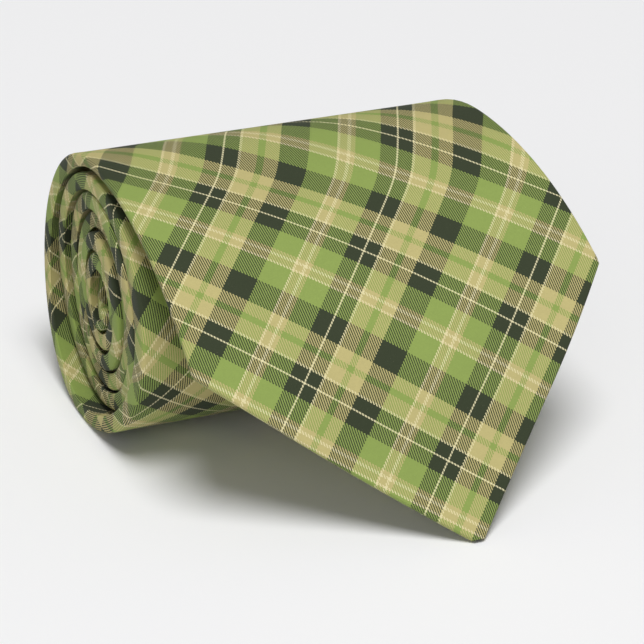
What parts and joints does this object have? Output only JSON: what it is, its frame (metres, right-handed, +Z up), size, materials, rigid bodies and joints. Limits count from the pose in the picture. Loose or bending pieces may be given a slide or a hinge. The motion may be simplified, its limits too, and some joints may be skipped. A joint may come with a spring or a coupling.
{
  "type": "necktie",
  "caption": "Plaid necktie folded in half and rolled up, its wide pointed blade outermost and sloping down from the roll to the surface.",
  "frame": {"origin": "on the surface the roll rests on, under the middle of the whole tie", "axes": "+X along the roll, +Y back from the blade's point to the roll, +Z up"},
  "size_m": [0.1072, 0.1154, 0.0646],
  "materials": {
    "plaid_cloth": "woven plaid twill in leaf green, tan and dark olive with cream lines, soft satin sheen",
    "interlining": "napped wool and cotton interlining, natural",
    "lining": "fine satin lining, olive tan",
    "label": "woven satin label, blank, cream",
    "thread": "twisted sewing thread, cream"
  },
  "bodies": {
    "roll": {"blade_shell": "plaid_cloth", "neck_shell": "plaid_cloth", "tail_shell": "plaid_cloth", "keeper_loop": "plaid_cloth", "blade_interlining": "interlining", "neck_interlining": "interlining", "tail_interlining": "interlining", "tail_tipping": "lining", "maker_label": "label", "care_label": "label", "blade_seam_thread": "thread", "neck_seam_thread": "thread", "tail_seam_thread": "thread", "tail_bar_tack": "thread", "keeper_tack_left": "thread", "keeper_tack_right": "thread", "label_tack_left_lower": "thread", "label_tack_left_upper": "thread", "label_tack_right_lower": "thread", "label_tack_right_upper": "thread", "care_tack_left": "thread", "care_tack_right": "thread"},
    "flap": {"blade_shell_flap": "plaid_cloth", "blade_interlining_flap": "interlining", "blade_tipping": "lining", "blade_bar_tack": "thread"}
  },
  "joints": [
    {"name": "blade_lift", "type": "hinge", "parent": "roll", "child": "flap", "pos_m": [0, 0.02519, 0.06457], "axis": [-1, 0, 0], "range_deg": [0, 75]}
  ]
}
